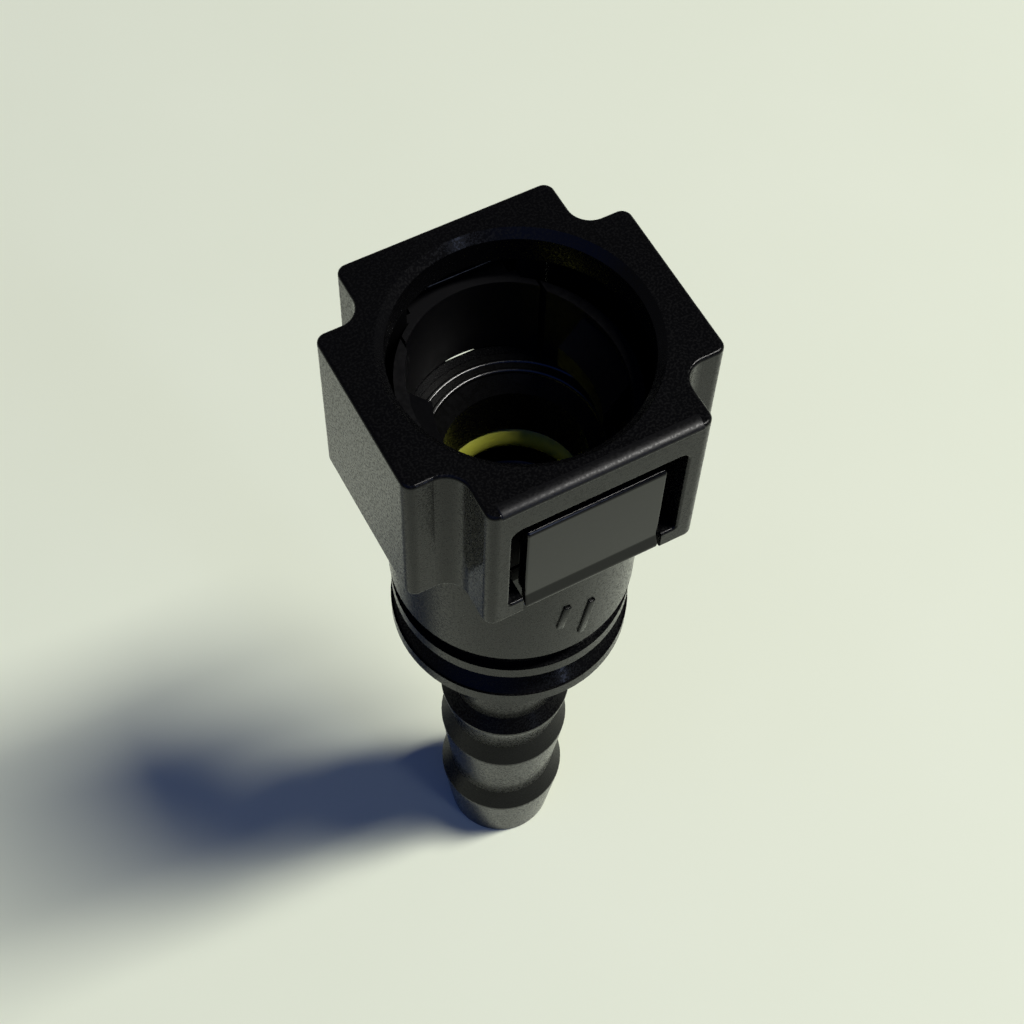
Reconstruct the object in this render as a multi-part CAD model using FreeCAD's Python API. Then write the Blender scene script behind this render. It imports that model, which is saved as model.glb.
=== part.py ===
import FreeCAD, Part
import math
import os

# A straight female quick connector for a fuel line. A beaded steel tube is pushed into the mouth
# of the cross-shaped head, and a hose is pushed over the barb. Squeezing the two buttons bends the
# oval retainer, which opens its jaws and lets the tube go.
# The origin is at the centre of the barb's end face, +Z runs up to the mouth, and the buttons
# face -Y and +Y. All lengths are in millimetres.

# The tube that the connector takes
tube_radius = 3.945
bead_radius = 5.45

# Barb and hose passage
barb_length = 30.0
passage_radius = 2.2
passage_chamfer = 0.3
neck_radius = 3.5
neck_fillet = 0.6
root_radius = 3.6
crest_radius = 4.25
crest_heights = (5.9, 13.8, 18.8)
crest_land = 0.2
crest_backs = (1.4, 1.4, 0.9)
tip_radius = 3.6
tip_chamfer = 0.15

# Flange, ring grooves and round body
flange_radius = 7.2
flange_height = 1.1
flange_edge = 0.15
cone_top_radius = 6.2
cone_height = 0.9
lower_groove_height = 1.45
rib_radius = 7.1
rib_height = 0.9
upper_groove_radius = 6.6
upper_groove_height = 1.45
body_radius = 7.2
body_height = 10.2
body_edge = 0.25

# Head, a cross with rounded corners
head_height = 10.8
head_half_x = 8.95
head_half_y = 8.4
arm_half_x = 6.2
arm_half_y = 5.05
corner_radius = 0.6
notch_radius = 1.25
top_edge_radius = 0.2
foot_edge_radius = 0.25
rim_height = 2.1
floor_thickness = 1.35
mouth_radius = 6.8
mouth_chamfer = 0.45
window_top_corner = 0.6
window_foot_corner = 0.2
window_edge = 0.15

# Oval retainer, with its buttons and jaws
button_travel = 1.1
slide_clearance = 0.1
bead_clearance = 0.05
band_clearance = 0.15
cavity_clearance = 0.15
band_thickness_x = 0.65
band_thickness_y = 0.4
band_height = 5.7
band_slit = 0.15
button_half_width = 3.95
button_thickness = 0.8
button_edge = 0.25
button_side_gap = 1.0
button_top_gap = 1.25
button_foot_gap = 0.15
foot_thickness = 0.6
foot_lip_height = 0.35
thumb_ledge_height = 0.75
thumb_ledge_depth = 0.2
thumb_ledge_radius = 0.5
inner_corner = 0.1
slot_clearance = 0.15
stem_half_width = 2.9
wing_clearance = 0.2
wing_outer_y = 6.5
wing_inner_y = 6.0
jaw_clearance = 0.355
jaw_half_width = 2.4
jaw_height = 3.4
jaw_above_floor = 1.9
jaw_face_height = 1.4

# Seals and bushing
tube_clearance = 0.055
seat_radius = 5.6
seat_clearance = 0.03
o_ring_section = 1.9
ring_gap = 0.05
spacer_height = 1.5
spacer_clearance = 0.1
bushing_length = 4.6
bushing_flange_radius = 6.0
bushing_flange_height = 0.4
bushing_lead_height = 1.0
bushing_lead_radius = 4.9
guide_length = 5.2
guide_cone_height = 1.1

# Levels, from the barb's end up
flange_top = barb_length + flange_height
cone_top = flange_top + cone_height
rib_foot = cone_top + lower_groove_height
rib_top = rib_foot + rib_height
body_foot = rib_top + upper_groove_height
head_foot = body_foot + body_height
head_top = head_foot + head_height
floor_level = head_foot + floor_thickness
ceiling_level = head_top - rim_height

# Radii that follow from the tube and its bead
bore_radius = tube_radius + tube_clearance
jaw_radius = tube_radius + jaw_clearance
open_radius = bead_radius + bead_clearance
jaw_travel = open_radius - jaw_radius
band_inner_x = bead_radius + band_clearance
band_outer_x = band_inner_x + band_thickness_x
band_inner_y = open_radius + button_travel
band_outer_y = band_inner_y + band_thickness_y
cavity_radius = band_outer_x + jaw_travel + cavity_clearance

# Levels inside the bore, from the bushing down
bushing_foot = floor_level - bushing_length
upper_ring_level = bushing_foot - ring_gap - o_ring_section / 2
spacer_top = upper_ring_level - o_ring_section / 2 - ring_gap
spacer_foot = spacer_top - spacer_height
lower_ring_level = spacer_foot - ring_gap - o_ring_section / 2
seat_foot = lower_ring_level - o_ring_section / 2 - ring_gap
guide_foot = seat_foot - guide_length

# Places in the head
band_foot = floor_level + slide_clearance
band_top = band_foot + band_height
button_foot = head_foot + button_foot_gap
button_top = ceiling_level - button_top_gap
window_half_width = button_half_width + button_side_gap
slot_half_width = button_half_width + slot_clearance
slot_inner_y = head_half_y - foot_thickness - button_travel - slot_clearance
overshoot = 1.0
tolerance = 0.000001


def vector(x, y, z):
    return FreeCAD.Vector(x, y, z)


def turned(profile):
    """A solid of revolution about Z from the (radius, height) corners of a closed outline."""
    points = [vector(radius, 0, height) for radius, height in profile]
    face = Part.Face(Part.makePolygon(points + [points[0]]))
    return face.revolve(vector(0, 0, 0), vector(0, 0, 1), 360)


def rounded_outline(corners, radii):
    """A closed wire through straight corners, each rounded by its own radius."""
    arcs = []
    for index, here in enumerate(corners):
        following = corners[(index + 1) % len(corners)]
        back = corners[index - 1].sub(here).normalize()
        ahead = following.sub(here).normalize()
        half_angle = back.getAngle(ahead) / 2
        reach = radii[index] / math.tan(half_angle)
        to_centre = back.add(ahead).normalize()
        start = here.add(vector(*back).multiply(reach))
        end = here.add(vector(*ahead).multiply(reach))
        middle = here.add(to_centre.multiply(radii[index] / math.sin(half_angle) - radii[index]))
        arcs.append((start, middle, end))
    edges = []
    for index, (start, middle, end) in enumerate(arcs):
        edges.append(Part.LineSegment(arcs[index - 1][2], start).toShape())
        edges.append(Part.Arc(start, middle, end).toShape())
    return Part.Wire(edges)


def box(x_low, x_high, y_low, y_high, z_low, z_high):
    return Part.makeBox(x_high - x_low, y_high - y_low, z_high - z_low, vector(x_low, y_low, z_low))


def level_edges(solid, height):
    """The edges of a solid that lie flat at one height."""
    return [edge for edge in solid.Edges if all(abs(v.Z - height) < tolerance for v in edge.Vertexes)]


def head_block():
    """The cross-shaped block of the head, with the edges of its top and underside rounded."""
    corners = []
    radii = []
    for side_x, side_y in ((1, -1), (1, 1), (-1, 1), (-1, -1)):
        run = [
            vector(side_x * arm_half_x, side_y * head_half_y, head_foot),
            vector(side_x * arm_half_x, side_y * arm_half_y, head_foot),
            vector(side_x * head_half_x, side_y * arm_half_y, head_foot),
        ]
        if side_x == side_y:
            run.reverse()
        corners += run
        radii += [corner_radius, notch_radius, corner_radius]
    block = Part.Face(rounded_outline(corners, radii)).extrude(vector(0, 0, head_height))
    block = block.makeFillet(top_edge_radius, level_edges(block, head_top))
    return block.makeFillet(foot_edge_radius, level_edges(block, head_foot))


def barb_profile():
    """Outside of the barb from its end up. Each cone widens upward to its crest, with a slope behind."""
    profile = [(0, 0), (tip_radius - tip_chamfer, 0), (tip_radius, tip_chamfer)]
    for height, back in zip(crest_heights, crest_backs):
        upper_radius = neck_radius if height == max(crest_heights) else root_radius
        profile.append((crest_radius, height - crest_land))
        profile.append((crest_radius, height))
        profile.append((upper_radius, height + back))
    profile.append((neck_radius, barb_length))
    return profile


def body_profile():
    """Outside of the flange, grooves and round body, up to the floor of the head."""
    return [
        (flange_radius - flange_edge, barb_length),
        (flange_radius, barb_length + flange_edge),
        (flange_radius, flange_top),
        (flange_radius - flange_edge, flange_top),
        (cone_top_radius, cone_top),
        (cone_top_radius, rib_foot),
        (rib_radius, rib_foot),
        (rib_radius, rib_top),
        (upper_groove_radius, rib_top),
        (upper_groove_radius, body_foot),
        (body_radius - body_edge, body_foot),
        (body_radius, body_foot + body_edge),
        (body_radius, floor_level),
        (0, floor_level),
    ]


def bore_profile():
    """The stepped hollow: passage, tube guide, seal seat, bushing recess, cavity and mouth."""
    recess_radius = bushing_flange_radius + seat_clearance
    recess_level = floor_level - bushing_flange_height
    return [
        (0, -overshoot),
        (passage_radius + passage_chamfer + overshoot, -overshoot),
        (passage_radius, passage_chamfer),
        (passage_radius, guide_foot - guide_cone_height),
        (bore_radius, guide_foot),
        (bore_radius, seat_foot),
        (seat_radius, seat_foot),
        (seat_radius, recess_level),
        (recess_radius, recess_level),
        (recess_radius, floor_level),
        (cavity_radius, floor_level),
        (cavity_radius, ceiling_level),
        (mouth_radius, ceiling_level),
        (mouth_radius, head_top - mouth_chamfer),
        (mouth_radius + mouth_chamfer + overshoot, head_top + overshoot),
        (0, head_top + overshoot),
    ]


def window_tool():
    """One cutter that opens the front and the rear window."""
    reach = head_half_y + overshoot
    corners = [
        vector(-window_half_width, -reach, floor_level),
        vector(window_half_width, -reach, floor_level),
        vector(window_half_width, -reach, ceiling_level),
        vector(-window_half_width, -reach, ceiling_level),
    ]
    radii = [window_foot_corner, window_foot_corner, window_top_corner, window_top_corner]
    return Part.Face(rounded_outline(corners, radii)).extrude(vector(0, 2 * reach, 0))


def slot_tool():
    """Cuts the notch in the front edge of the floor that the foot of a button slides in."""
    reach = head_half_y + overshoot
    return box(-slot_half_width, slot_half_width, -reach, -slot_inner_y, head_foot, floor_level)


def window_edges(solid):
    """The outer edges of the front and the rear window, but not the notches in their sills."""
    edges = []
    for edge in solid.Edges:
        extent = edge.BoundBox
        on_face = abs(abs(extent.Center.y) - head_half_y) < tolerance and extent.YLength < tolerance
        in_width = max(-extent.XMin, extent.XMax) < window_half_width + tolerance
        above_sill = extent.ZMin > floor_level - tolerance and extent.ZMax < ceiling_level + tolerance
        if on_face and in_width and above_sill:
            edges.append(edge)
    return edges


def housing():
    """The one-piece body: barb, flange, ribs, round body and head, bored through from end to end."""
    outside = turned(barb_profile() + body_profile())
    under_flange = [
        edge for edge in level_edges(outside, barb_length)
        if abs(edge.BoundBox.XMax - neck_radius) < tolerance
    ]
    outside = outside.makeFillet(neck_fillet, under_flange)
    slot = slot_tool()
    solid = outside.fuse(head_block())
    for cutter in (turned(bore_profile()), window_tool(), slot, half_turn(slot)):
        solid = solid.cut(cutter)
    solid = solid.removeSplitter()
    return solid.makeFillet(window_edge, window_edges(solid))


def oval(half_x, half_y, foot, top):
    """An upright oval prism that is longer along Y."""
    ellipse = Part.Ellipse(vector(0, 0, 0), half_y, half_x)
    face = Part.Face(Part.Wire(ellipse.toShape()))
    face.rotate(vector(0, 0, 0), vector(0, 0, 1), 90)
    face.translate(vector(0, 0, foot))
    return face.extrude(vector(0, 0, top - foot))


def band_inside():
    return oval(band_inner_x, band_inner_y, band_foot - overshoot, band_top + overshoot)


def band():
    return oval(band_outer_x, band_outer_y, band_foot, band_top).cut(band_inside())


def bead_way(travel_x, travel_y):
    """The bead's path through a piece of the retainer that stands this far short of its open place."""
    foot = vector(-travel_x, -travel_y, band_foot - overshoot)
    return Part.makeCylinder(open_radius, band_height + 2 * overshoot, foot)


def button_plate():
    """The part that is pressed: a flat face above a thumb ledge, and a thin foot in its notch."""
    face_y = -head_half_y + thumb_ledge_depth
    inner_y = face_y + button_thickness
    foot_inner_y = -head_half_y + foot_thickness
    lip_top = button_foot + foot_lip_height
    ledge_top = lip_top + thumb_ledge_height
    outline = [
        (-head_half_y, button_foot, button_edge),
        (-head_half_y, lip_top, thumb_ledge_radius),
        (face_y, ledge_top, thumb_ledge_radius),
        (face_y, button_top, button_edge),
        (inner_y, button_top, inner_corner),
        (inner_y, band_foot, inner_corner),
        (foot_inner_y, band_foot, inner_corner),
        (foot_inner_y, button_foot, inner_corner),
    ]
    corners = [vector(-button_half_width, y, z) for y, z, radius in outline]
    wire = rounded_outline(corners, [radius for y, z, radius in outline])
    plate = Part.Face(wire).extrude(vector(2 * button_half_width, 0, 0))
    side_edges = [
        edge for edge in plate.Edges
        if abs(abs(edge.BoundBox.Center.x) - button_half_width) < tolerance
        and edge.BoundBox.YMax < face_y + tolerance
    ]
    return plate.makeFillet(button_edge / 2, side_edges)


def front_button():
    """Plate, stem with its two wings that close the window's side gaps, and a stretch of the band."""
    stem = box(-stem_half_width, stem_half_width, -head_half_y + foot_thickness, 0, band_foot, band_top)
    wing_half_width = window_half_width - wing_clearance
    wings = box(-wing_half_width, wing_half_width, -wing_outer_y, -wing_inner_y, band_foot, band_top)
    bow = band().common(
        box(-button_half_width, button_half_width, -band_outer_y, 0, band_foot, band_top))
    solid = button_plate().fuse(stem.fuse(wings).cut(band_inside())).fuse(bow)
    return solid.cut(bead_way(0, button_travel)).removeSplitter()


def right_jaw():
    """A locking jaw with its lead-in slope, and the stretch of the band that bends with it."""
    reach = band_outer_x + overshoot
    arms = band().common(
        box(button_half_width + band_slit, reach, -band_outer_y, band_outer_y, band_foot, band_top))
    jaw_foot = floor_level + jaw_above_floor
    jaw_top = jaw_foot + jaw_height
    in_band = oval((band_inner_x + band_outer_x) / 2, band_inner_y, jaw_foot, jaw_top)
    block = box(0, reach, -jaw_half_width, jaw_half_width, jaw_foot, jaw_top).common(in_band)
    opening = turned([
        (0, jaw_foot - overshoot),
        (jaw_radius, jaw_foot - overshoot),
        (jaw_radius, jaw_foot + jaw_face_height),
        (band_inner_x, jaw_top),
        (band_inner_x, jaw_top + overshoot),
        (0, jaw_top + overshoot),
    ])
    solid = arms.fuse(block.cut(opening))
    return solid.cut(bead_way(jaw_travel, 0)).removeSplitter()


def bushing():
    """The top-hat ring that guides the tube and holds the seals down."""
    outer = seat_radius - seat_clearance
    flange_foot = floor_level - bushing_flange_height
    return turned([
        (bore_radius, bushing_foot),
        (outer, bushing_foot),
        (outer, flange_foot),
        (bushing_flange_radius, flange_foot),
        (bushing_flange_radius, floor_level),
        (bushing_lead_radius, floor_level),
        (bore_radius, floor_level - bushing_lead_height),
    ])


def o_ring(level):
    middle_radius = seat_radius - seat_clearance - o_ring_section / 2
    return Part.makeTorus(middle_radius, o_ring_section / 2, vector(0, 0, level))


def spacer_ring():
    inner = bore_radius + spacer_clearance
    outer = seat_radius - seat_clearance
    return turned([(inner, spacer_foot), (outer, spacer_foot), (outer, spacer_top), (inner, spacer_top)])


def half_turn(solid):
    """The same shape on the other side of the axis."""
    other = solid.copy()
    other.rotate(vector(0, 0, 0), vector(0, 0, 1), 180)
    return other


def export_all():
    button = front_button()
    jaw = right_jaw()
    pieces = {
        "housing": housing(),
        "front_button": button,
        "rear_button": half_turn(button),
        "right_jaw": jaw,
        "left_jaw": half_turn(jaw),
        "bushing": bushing(),
        "upper_o_ring": o_ring(upper_ring_level),
        "spacer_ring": spacer_ring(),
        "lower_o_ring": o_ring(lower_ring_level),
    }
    os.makedirs("parts", exist_ok=True)
    for name, solid in pieces.items():
        solid.exportStep("parts/" + name + ".step")
        print(name, "valid", solid.isValid(), "solids", len(solid.Solids), "volume", round(solid.Volume, 2))


export_all()
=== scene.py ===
import math

import bpy
from mathutils import Matrix, Vector


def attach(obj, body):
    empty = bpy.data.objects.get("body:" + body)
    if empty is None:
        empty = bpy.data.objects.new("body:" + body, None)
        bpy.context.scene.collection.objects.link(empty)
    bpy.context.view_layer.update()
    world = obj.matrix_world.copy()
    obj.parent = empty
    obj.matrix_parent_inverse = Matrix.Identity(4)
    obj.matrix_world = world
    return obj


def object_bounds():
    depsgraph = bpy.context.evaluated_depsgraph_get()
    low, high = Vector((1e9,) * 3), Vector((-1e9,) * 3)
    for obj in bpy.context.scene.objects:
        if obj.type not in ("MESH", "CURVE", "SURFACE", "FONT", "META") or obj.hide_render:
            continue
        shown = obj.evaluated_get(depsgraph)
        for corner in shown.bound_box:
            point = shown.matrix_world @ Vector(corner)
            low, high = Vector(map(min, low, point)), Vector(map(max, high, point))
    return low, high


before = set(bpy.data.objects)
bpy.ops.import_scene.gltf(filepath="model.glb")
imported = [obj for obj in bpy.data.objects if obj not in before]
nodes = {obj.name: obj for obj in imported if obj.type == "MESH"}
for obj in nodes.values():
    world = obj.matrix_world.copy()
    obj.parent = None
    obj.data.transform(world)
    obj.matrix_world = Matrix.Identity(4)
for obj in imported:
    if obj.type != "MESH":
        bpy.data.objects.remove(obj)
cad_low, cad_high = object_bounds()

# Lengths are in metres, and this is one millimetre. Angles are in degrees.
mm = 0.001

# The camera stands above the head, a little to the left of the front button, and looks down. Its
# lens and its sensor are in millimetres, as Blender takes them.
camera_place = Vector((-28.315, -47.508, 134.33)) * mm
camera_azimuth = 30.743
camera_down = 59.548
camera_roll = 2.7145
camera_lens = 67.64
camera_sensor = 36
camera_nearest = 0.01
camera_farthest = 10

# A long narrow lamp slants up to the right of the camera and throws the firm shadow with its
# drawn-out end. A weak tall lamp in front softens it and lights the rounded front edge.
lamp_distance = 1.0
lamp_colour = "fffdf8"
strip_direction = Vector((0.44, -0.211, 0.87))
strip_axis = Vector((-0.894, -0.056, 0.447))
strip_size = (0.5, 0.13)
strip_power = 11.0
tall_direction = Vector((0.25, -0.82, 0.51))
tall_axis = Vector((0, 0.53, 0.85))
tall_size = (0.7, 0.09)
tall_power = 0.65
tall_colour = "c9d8ff"

# The room is dim. A direction's height is its upward part, and the room turns from its low to its
# high colour between the two heights.
room_low_colour = "515154"
room_high_colour = "0c0c0e"
room_low_height = 0.45
room_high_height = 0.75

# A blurred window begins and is full where the cosine to its direction passes these two values.
window_direction = Vector((-0.50, -0.35, 0.79))
window_colour = "274b9c"
window_edge_cosine = 0.70
window_full_cosine = 0.92

floor_dark_colour = "e0e6cf"
floor_light_colour = "e5ead5"
floor_half_width = 1.5
floor_rough = 0.7
mottle_size = 25 * mm

# Away from the part the camera sees the table, and the room behind it, in one pale colour. The
# table turns to it between these two distances from the part's axis.
backdrop_colour = "dadfce"
near_radius = 0.15
far_radius = 0.6

# Nylon is nearer 1.53. The lower values are a choice of looks, to match the photograph's dark
# tones: at 1.25 the front faces mirror about half as much as at 1.53.
housing_ior = 1.25
retainer_ior = 1.28
bead_ior = 1.37
rim_ior = 1.5

# The melt's flow shifts the nylon's colour over this length. The grain's roughness goes from its
# lowest to its highest value while its noise goes from the low value here to the high one.
flow_size = 3.5 * mm
noise_low = 0.4
noise_high = 0.6

# Faces of the retainer nearer the middle plane than this are dull. Then come their roughness and
# the width of the step to the polished ones.
dull_reach = 7.4 * mm
dull_rough = 0.42
dull_edge = 0.1 * mm

# Near-black, spark-textured nylon for the caps and slot sheets, which paints shade into the head's
# gaps: its two colours, the size and depth of its grit, its roughness and how much it mirrors.
gap_shade_dark_colour = "040404"
gap_shade_light_colour = "070708"
grit_size = 0.12 * mm
grit_depth = 0.01 * mm
grit_rough = 0.8
gap_shade_mirror = 0.1

# Seal rubber: the size and depth of its waves, its roughness and its index of refraction.
seal_wave = 1.2 * mm
seal_depth = 0.01 * mm
seal_rough = 0.35
seal_ior = 1.5

# Faces of the added blocks and the bead that meet at less than this angle are shaded as one round
# face. The rounded edges of the bars and the caps have this many steps.
smooth_angle = 40
edge_steps = 3

# Two small raised bars stand on the round body, below the front button. Each has its place round
# the body, the height of its middle and its length.
body_radius = 7.2 * mm
bar_places = ((-0.7 * mm, 40.2 * mm, 2.2 * mm), (0.8 * mm, 39.1 * mm, 3.2 * mm))
bar_width = 0.45 * mm
bar_depth = 0.26 * mm
bar_edge = 0.07 * mm
bar_lean = -10

# A rounded bead runs along the top edge over the front window and stands a little proud of the
# head. Its section is an oval, which the two half widths give. The rims of its two ends are the
# edges sharper than the end angle.
bead_half_y = 0.5 * mm
bead_half_z = 0.28 * mm
bead_proud = 0.07 * mm
bead_length = 11.2 * mm
bead_sides = 64
bead_end = 0.12 * mm
bead_end_angle = 60
bead_end_steps = 6

# A dull cap covers each end of a button's cross wall and rises over it to just under the window's
# ceiling, so that less of the table shows through the head. Its near-black nylon is painted shade.
cap_length = 1.55 * mm
cap_outer_x = 4.89 * mm
cap_middle_y = 6.25 * mm
cap_thickness = 0.6 * mm
cap_foot = 47.5 * mm
cap_top = 54.5 * mm
cap_edge = 0.1 * mm

# A thin near-black sheet backs each slot of the sill that a button's foot slides in, as painted shade
# where the table would show through.
slot_face_half_x = 4.09 * mm
slot_face_y = 6.55 * mm
slot_face_thickness = 0.1 * mm
slot_face_foot = 46.03 * mm
slot_face_top = 47.33 * mm
slot_face_edge = 0.02 * mm
slot_face_edge_steps = 2

# Two slim rounded rims on top of the bushing catch the lamps deep in the mouth. The sink is how far
# a rim's middle lies under the bushing's top.
rim_radii = (5.5 * mm, 4.92 * mm)
rim_level = 47.35 * mm
rim_half_thickness = 0.17 * mm
rim_sink = 0.1 * mm
rim_steps_around = 144
rim_steps_across = 16


def linear(hex_colour):
    """An sRGB hex colour as linear red, green, blue and alpha."""
    channels = [int(hex_colour[i:i + 2], 16) / 255 for i in (0, 2, 4)]
    return [c / 12.92 if c <= 0.04045 else ((c + 0.055) / 1.055) ** 2.4 for c in channels] + [1.0]


def add_node(tree, kind, settings=None, **links):
    """Adds a shader node. Settings name its properties or sockets, links give source sockets."""
    node = tree.nodes.new(kind)
    for name, value in (settings or {}).items():
        if name in node.inputs:
            node.inputs[name].default_value = value
        else:
            setattr(node, name, value)
    for name, source in links.items():
        tree.links.new(source, node.inputs[name.replace("_", " ")])
    return node


def new_material(name):
    """An empty material with its node tree and output node."""
    material = bpy.data.materials.new(name)
    material.use_nodes = True
    material.node_tree.nodes.clear()
    output = material.node_tree.nodes.new("ShaderNodeOutputMaterial")
    return material, material.node_tree, output


def moulded_nylon(name, dark, light, ior, rough, grain, depth, dull_within=None):
    """Black nylon from a grained mould: the melt's flow shifts its colour, the grain its sheen.

    Faces nearer the middle plane than dull_within come from the mould's unpolished core and are dull.
    """
    material, tree, output = new_material(name)
    place = add_node(tree, "ShaderNodeTexCoord").outputs["Object"]
    flow = add_node(
        tree, "ShaderNodeTexNoise", {"Scale": 1 / flow_size, "Detail": 3.0}, Vector=place)
    fine = add_node(tree, "ShaderNodeTexNoise", {"Scale": 1 / grain, "Detail": 2.0}, Vector=place)
    shade = add_node(
        tree, "ShaderNodeMix", {"data_type": "RGBA", "A": linear(dark), "B": linear(light)},
        Factor=flow.outputs["Fac"])
    rough_low, rough_high = rough
    sheen = add_node(
        tree, "ShaderNodeMapRange",
        {"From Min": noise_low, "From Max": noise_high, "To Min": rough_low, "To Max": rough_high},
        Value=fine.outputs["Fac"]).outputs["Result"]
    if dull_within:
        across = add_node(tree, "ShaderNodeSeparateXYZ", Vector=place).outputs["Y"]
        from_middle = add_node(tree, "ShaderNodeMath", {"operation": "ABSOLUTE"}, Value=across)
        step = {
            "From Min": dull_within - dull_edge,
            "From Max": dull_within,
            "To Min": dull_rough,
            "To Max": 0.0,
        }
        dull = add_node(tree, "ShaderNodeMapRange", step, Value=from_middle.outputs["Value"])
        rougher = add_node(tree, "ShaderNodeMath", {"operation": "MAXIMUM"})
        tree.links.new(dull.outputs["Result"], rougher.inputs[0])
        tree.links.new(sheen, rougher.inputs[1])
        sheen = rougher.outputs["Value"]
    relief = add_node(
        tree, "ShaderNodeBump", {"Strength": 1.0, "Distance": depth}, Height=fine.outputs["Fac"])
    shader = add_node(
        tree, "ShaderNodeBsdfPrincipled", {"IOR": ior},
        Base_Color=shade.outputs["Result"], Roughness=sheen, Normal=relief.outputs["Normal"])
    tree.links.new(shader.outputs["BSDF"], output.inputs["Surface"])
    return material


def gap_shade_nylon():
    """Near-black spark-textured nylon that paints shade into the head's gaps: it swallows light and
    hardly mirrors.
    """
    material, tree, output = new_material("gap_shade_textured_nylon")
    place = add_node(tree, "ShaderNodeTexCoord").outputs["Object"]
    grit = add_node(
        tree, "ShaderNodeTexNoise", {"Scale": 1 / grit_size, "Detail": 2.0}, Vector=place)
    shade = add_node(
        tree, "ShaderNodeMix",
        {"data_type": "RGBA", "A": linear(gap_shade_dark_colour), "B": linear(gap_shade_light_colour)},
        Factor=grit.outputs["Fac"])
    relief = add_node(
        tree, "ShaderNodeBump", {"Strength": 1.0, "Distance": grit_depth},
        Height=grit.outputs["Fac"])
    shader = add_node(
        tree, "ShaderNodeBsdfPrincipled",
        {"IOR": retainer_ior, "Roughness": grit_rough, "Specular IOR Level": gap_shade_mirror},
        Base_Color=shade.outputs["Result"], Normal=relief.outputs["Normal"])
    tree.links.new(shader.outputs["BSDF"], output.inputs["Surface"])
    return material


def seal_rubber(name, dark, light):
    """Moulded seal rubber, wiped with assembly oil: smooth, with a soft wet sheen."""
    material, tree, output = new_material(name)
    place = add_node(tree, "ShaderNodeTexCoord").outputs["Object"]
    waves = add_node(
        tree, "ShaderNodeTexNoise", {"Scale": 1 / seal_wave, "Detail": 3.0}, Vector=place)
    shade = add_node(
        tree, "ShaderNodeMix", {"data_type": "RGBA", "A": linear(dark), "B": linear(light)},
        Factor=waves.outputs["Fac"])
    relief = add_node(
        tree, "ShaderNodeBump", {"Strength": 1.0, "Distance": seal_depth},
        Height=waves.outputs["Fac"])
    shader = add_node(
        tree, "ShaderNodeBsdfPrincipled", {"IOR": seal_ior, "Roughness": seal_rough},
        Base_Color=shade.outputs["Result"], Normal=relief.outputs["Normal"])
    tree.links.new(shader.outputs["BSDF"], output.inputs["Surface"])
    return material


def painted_table():
    """A pale painted table top, flat and faintly mottled, that fades into the backdrop's colour."""
    material, tree, output = new_material("painted_table")
    place = add_node(tree, "ShaderNodeTexCoord").outputs["Object"]
    mottle = add_node(
        tree, "ShaderNodeTexNoise", {"Scale": 1 / mottle_size, "Detail": 4.0}, Vector=place)
    shade = add_node(
        tree, "ShaderNodeMix",
        {"data_type": "RGBA", "A": linear(floor_dark_colour), "B": linear(floor_light_colour)},
        Factor=mottle.outputs["Fac"])
    shader = add_node(
        tree, "ShaderNodeBsdfPrincipled", {"Roughness": floor_rough},
        Base_Color=shade.outputs["Result"])
    radius = add_node(tree, "ShaderNodeVectorMath", {"operation": "LENGTH"}, Vector=place)
    far = add_node(
        tree, "ShaderNodeMapRange",
        {"interpolation_type": "SMOOTHSTEP", "From Min": near_radius, "From Max": far_radius},
        Value=radius.outputs["Value"])
    seen = add_node(tree, "ShaderNodeMath", {"operation": "MULTIPLY"})
    tree.links.new(far.outputs["Result"], seen.inputs[0])
    tree.links.new(add_node(tree, "ShaderNodeLightPath").outputs["Is Camera Ray"], seen.inputs[1])
    pale = add_node(tree, "ShaderNodeEmission", {"Color": linear(backdrop_colour)})
    surface = add_node(tree, "ShaderNodeMixShader", Fac=seen.outputs["Value"])
    tree.links.new(shader.outputs["BSDF"], surface.inputs[1])
    tree.links.new(pale.outputs["Emission"], surface.inputs[2])
    tree.links.new(surface.outputs["Shader"], output.inputs["Surface"])
    return material


def finish_nodes():
    """Gives each CAD node its own finish, and returns the housing's."""
    # The housing's grain is drawn coarser than the real one, so that its glitter shows.
    housing_nylon = moulded_nylon(
        "moulded_nylon_grained", "060607", "0a0a0b", housing_ior,
        rough=(0.1, 0.38), grain=0.13 * mm, depth=0.0018 * mm)
    # The button's pressed face is smooth and mirrors the table evenly.
    retainer_nylon = moulded_nylon(
        "moulded_nylon_smooth", "050506", "08080a", retainer_ior,
        rough=(0.08, 0.14), grain=0.3 * mm, depth=0.002 * mm, dull_within=dull_reach)
    # The jaws and the bushing are duller, so that the mouth stays dark.
    jaw_nylon = moulded_nylon(
        "moulded_nylon_dull", "050506", "08080a", retainer_ior,
        rough=(0.38, 0.46), grain=0.3 * mm, depth=0.002 * mm)
    bushing_nylon = moulded_nylon(
        "turned_nylon_dark", "060606", "0a0a0a", retainer_ior,
        rough=(0.26, 0.34), grain=0.3 * mm, depth=0.002 * mm)
    olive_rubber = seal_rubber("olive_seal_rubber", "9a9d36", "c0c24e")
    black_rubber = seal_rubber("black_seal_rubber", "0d0d0d", "161616")
    finishes = {
        "housing": housing_nylon,
        "front_button": retainer_nylon,
        "rear_button": retainer_nylon,
        "left_jaw": jaw_nylon,
        "right_jaw": jaw_nylon,
        "bushing": bushing_nylon,
        "spacer_ring": bushing_nylon,
        "upper_o_ring": olive_rubber,
        "lower_o_ring": black_rubber,
    }
    for name, material in finishes.items():
        for slot in nodes[name].material_slots:
            slot.material = material
    return housing_nylon


def rounded_nylon():
    """The bead's nylon: an even, rougher sheen, which gives the broad light along the front edge."""
    return moulded_nylon(
        "moulded_nylon_rounded", "060607", "0a0a0b", bead_ior,
        rough=(0.36, 0.5), grain=0.15 * mm, depth=0.001 * mm)


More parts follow.
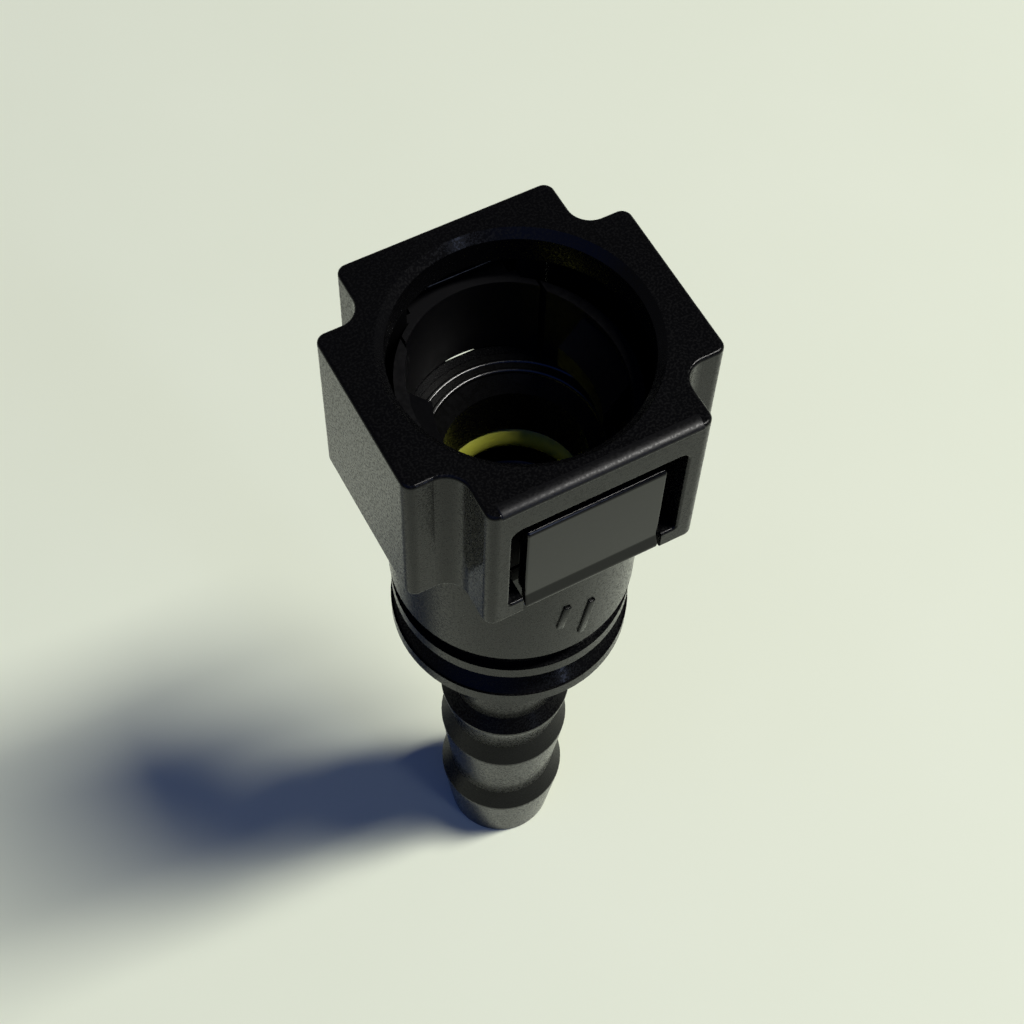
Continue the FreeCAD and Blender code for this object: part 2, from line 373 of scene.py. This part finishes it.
def polished_nylon():
    """The bushing rims' nylon: smoother than the bushing, so that the lamps glint on it."""
    return moulded_nylon(
        "moulded_nylon_polished", "060606", "0a0a0a", rim_ior,
        rough=(0.18, 0.24), grain=0.3 * mm, depth=0.001 * mm)


def begin_edit(name):
    """Names the shape that was just added and selects all of it in edit mode."""
    piece = bpy.context.object
    piece.name = name
    bpy.ops.object.mode_set(mode="EDIT")
    bpy.ops.mesh.select_all(action="SELECT")
    return piece


def end_edit(piece, finish):
    """Leaves edit mode, shades the rounded faces smooth and gives the piece its finish."""
    bpy.ops.object.mode_set(mode="OBJECT")
    bpy.ops.object.shade_smooth_by_angle(angle=math.radians(smooth_angle))
    piece.data.materials.append(finish)


def add_block(name, size, edge, steps):
    """A block round the origin with bevelled edges, left in edit mode with all of it selected."""
    bpy.ops.object.select_all(action="DESELECT")
    bpy.ops.mesh.primitive_cube_add(size=1, location=(0, 0, 0))
    block = begin_edit(name)
    bpy.ops.transform.resize(value=size)
    bpy.ops.mesh.bevel(offset=edge, segments=steps, affect="EDGES")
    bpy.ops.mesh.select_all(action="SELECT")
    return block


def turn_selected(angle, axis):
    """Turns what is selected about an axis through the origin."""
    bpy.ops.transform.rotate(value=angle, orient_axis=axis, center_override=(0, 0, 0))


def add_mark(finish):
    """Two small raised bars on the round body, with bevelled edges, sunk by half their depth."""
    for index, (around, height, length) in enumerate(bar_places, start=1):
        bar = add_block(
            "raised_bar_" + str(index), (bar_width, bar_depth, length), bar_edge, edge_steps)
        turn_selected(math.radians(bar_lean), "Y")
        bpy.ops.transform.translate(value=(0, -body_radius, height))
        turn_selected(-around / body_radius, "Z")
        end_edit(bar, finish)
        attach(bar, "connector_body")


def add_bead(finish):
    """The bead over the front window: an oval bar with rounded ends, mostly sunk in the head."""
    bpy.ops.object.select_all(action="DESELECT")
    bpy.ops.mesh.primitive_cylinder_add(
        vertices=bead_sides, radius=bead_half_y, depth=bead_length, location=(0, 0, 0))
    bead = begin_edit("front_edge_bead")
    turn_selected(math.radians(90), "Y")
    bpy.ops.transform.resize(value=(1, 1, bead_half_z / bead_half_y))
    bpy.ops.mesh.select_mode(type="EDGE")
    bpy.ops.mesh.select_all(action="DESELECT")
    bpy.ops.mesh.edges_select_sharp(sharpness=math.radians(bead_end_angle))
    bpy.ops.mesh.bevel(offset=bead_end, segments=bead_end_steps, affect="EDGES")
    bpy.ops.mesh.select_all(action="SELECT")
    place = (0, cad_low.y - bead_proud + bead_half_y, cad_high.z + bead_proud - bead_half_z)
    bpy.ops.transform.translate(value=place)
    end_edit(bead, finish)
    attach(bead, "connector_body")


def add_caps(finish):
    """A near-black cap with bevelled edges over each end of both buttons' cross walls, as painted shade.
    """
    for button, side_y in (("front_button", -1), ("rear_button", 1)):
        for hand, side_x in (("left", -1), ("right", 1)):
            cap = add_block(
                button + "_cap_" + hand, (cap_length, cap_thickness, cap_top - cap_foot), cap_edge,
                edge_steps)
            place = (
                side_x * (cap_outer_x - cap_length / 2), side_y * cap_middle_y, (cap_foot + cap_top) / 2)
            bpy.ops.transform.translate(value=place)
            end_edit(cap, finish)
            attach(cap, button)


def add_slot_faces(finish):
    """A near-black thin plate at the back of each slot, half sunk in the housing, as painted shade."""
    size = (2 * slot_face_half_x, slot_face_thickness, slot_face_top - slot_face_foot)
    for name, side in (("front_slot_shade_sheet", -1), ("rear_slot_shade_sheet", 1)):
        face = add_block(name, size, slot_face_edge, slot_face_edge_steps)
        bpy.ops.transform.translate(
            value=(0, side * slot_face_y, (slot_face_foot + slot_face_top) / 2))
        end_edit(face, finish)
        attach(face, "connector_body")


def add_rims(finish):
    """The two rounded rims of the bushing, each a slim ring sunk in its top."""
    for index, radius in enumerate(rim_radii, start=1):
        bpy.ops.object.select_all(action="DESELECT")
        bpy.ops.mesh.primitive_torus_add(
            location=(0, 0, 0), major_radius=radius, minor_radius=rim_half_thickness,
            major_segments=rim_steps_around, minor_segments=rim_steps_across)
        rim = begin_edit("bushing_rim_" + str(index))
        bpy.ops.transform.translate(value=(0, 0, rim_level - rim_sink))
        bpy.ops.object.mode_set(mode="OBJECT")
        bpy.ops.object.shade_smooth()
        rim.data.materials.append(finish)
        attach(rim, "connector_body")


def add_floor():
    """The table top that the part stands on."""
    bpy.ops.object.select_all(action="DESELECT")
    bpy.ops.mesh.primitive_plane_add(size=2 * floor_half_width, location=(0, 0, 0))
    floor = bpy.context.object
    floor.name = "table_top"
    floor.data.materials.append(painted_table())


def add_lamp(name, direction, axis, size, power, colour):
    """A rectangular lamp that faces the middle of the part, with its long side along an axis."""
    middle = (cad_low + cad_high) / 2
    lamp = bpy.data.lights.new(name, "AREA")
    lamp.shape = "RECTANGLE"
    lamp.size, lamp.size_y = size
    lamp.energy = power
    lamp.color = linear(colour)[:3]
    holder = bpy.data.objects.new(name, lamp)
    bpy.context.scene.collection.objects.link(holder)
    back = direction.normalized()
    across = back.cross(axis).normalized()
    along = across.cross(back)
    turn = Matrix((along, across, back)).transposed().to_4x4()
    holder.matrix_world = Matrix.Translation(middle + back * lamp_distance) @ turn


def add_room():
    """A dim room, dark overhead, with a blurred blue window high on the left that tints the shadow.

    The camera sees the backdrop's colour in its place.
    """
    world = bpy.data.worlds.new("room")
    bpy.context.scene.world = world
    world.use_nodes = True
    tree = world.node_tree
    tree.nodes.clear()
    place = add_node(tree, "ShaderNodeTexCoord").outputs["Generated"]
    height = add_node(tree, "ShaderNodeSeparateXYZ", Vector=place).outputs["Z"]
    share = add_node(
        tree, "ShaderNodeMapRange",
        {"interpolation_type": "SMOOTHSTEP", "From Min": room_low_height,
         "From Max": room_high_height},
        Value=height)
    room = add_node(
        tree, "ShaderNodeMix",
        {"data_type": "RGBA", "A": linear(room_low_colour), "B": linear(room_high_colour)},
        Factor=share.outputs["Result"])
    towards = add_node(tree, "ShaderNodeVectorMath", {"operation": "DOT_PRODUCT"})
    tree.links.new(place, towards.inputs[0])
    towards.inputs[1].default_value = window_direction.normalized()
    window = add_node(
        tree, "ShaderNodeMapRange",
        {"interpolation_type": "SMOOTHSTEP", "From Min": window_edge_cosine,
         "From Max": window_full_cosine},
        Value=towards.outputs["Value"])
    lit_room = add_node(
        tree, "ShaderNodeMix", {"data_type": "RGBA", "B": linear(window_colour)},
        Factor=window.outputs["Result"], A=room.outputs["Result"])
    camera_ray = add_node(tree, "ShaderNodeLightPath").outputs["Is Camera Ray"]
    seen = add_node(
        tree, "ShaderNodeMix", {"data_type": "RGBA", "B": linear(backdrop_colour)},
        Factor=camera_ray, A=lit_room.outputs["Result"])
    background = add_node(tree, "ShaderNodeBackground", Color=seen.outputs["Result"])
    output = tree.nodes.new("ShaderNodeOutputWorld")
    tree.links.new(background.outputs["Background"], output.inputs["Surface"])


def add_camera():
    """The photograph's camera, from its place, the way it looks and its roll."""
    azimuth = math.radians(camera_azimuth)
    down = math.radians(camera_down)
    roll = math.radians(camera_roll)
    forward = Vector((
        math.sin(azimuth) * math.cos(down), math.cos(azimuth) * math.cos(down), -math.sin(down)))
    level_right = Vector((math.cos(azimuth), -math.sin(azimuth), 0))
    level_up = level_right.cross(forward)
    right = math.cos(roll) * level_right + math.sin(roll) * level_up
    up = right.cross(forward)
    camera = bpy.data.cameras.new("photo_camera")
    camera.lens = camera_lens
    camera.sensor_width = camera_sensor
    camera.clip_start = camera_nearest
    camera.clip_end = camera_farthest
    holder = bpy.data.objects.new("photo_camera", camera)
    bpy.context.scene.collection.objects.link(holder)
    turn = Matrix((right, up, -forward)).transposed().to_4x4()
    holder.matrix_world = Matrix.Translation(camera_place) @ turn
    bpy.context.scene.camera = holder


housing_finish = finish_nodes()
add_mark(housing_finish)
add_bead(rounded_nylon())
# The caps and slot sheets are near-black pieces that paint shade into the gaps of the head.
gap_shade_finish = gap_shade_nylon()
add_caps(gap_shade_finish)
add_slot_faces(gap_shade_finish)
add_rims(polished_nylon())
add_floor()
add_lamp("strip_lamp", strip_direction, strip_axis, strip_size, strip_power, lamp_colour)
add_lamp("tall_lamp", tall_direction, tall_axis, tall_size, tall_power, tall_colour)
add_room()
add_camera()
bpy.context.scene.view_settings.view_transform = "Standard"
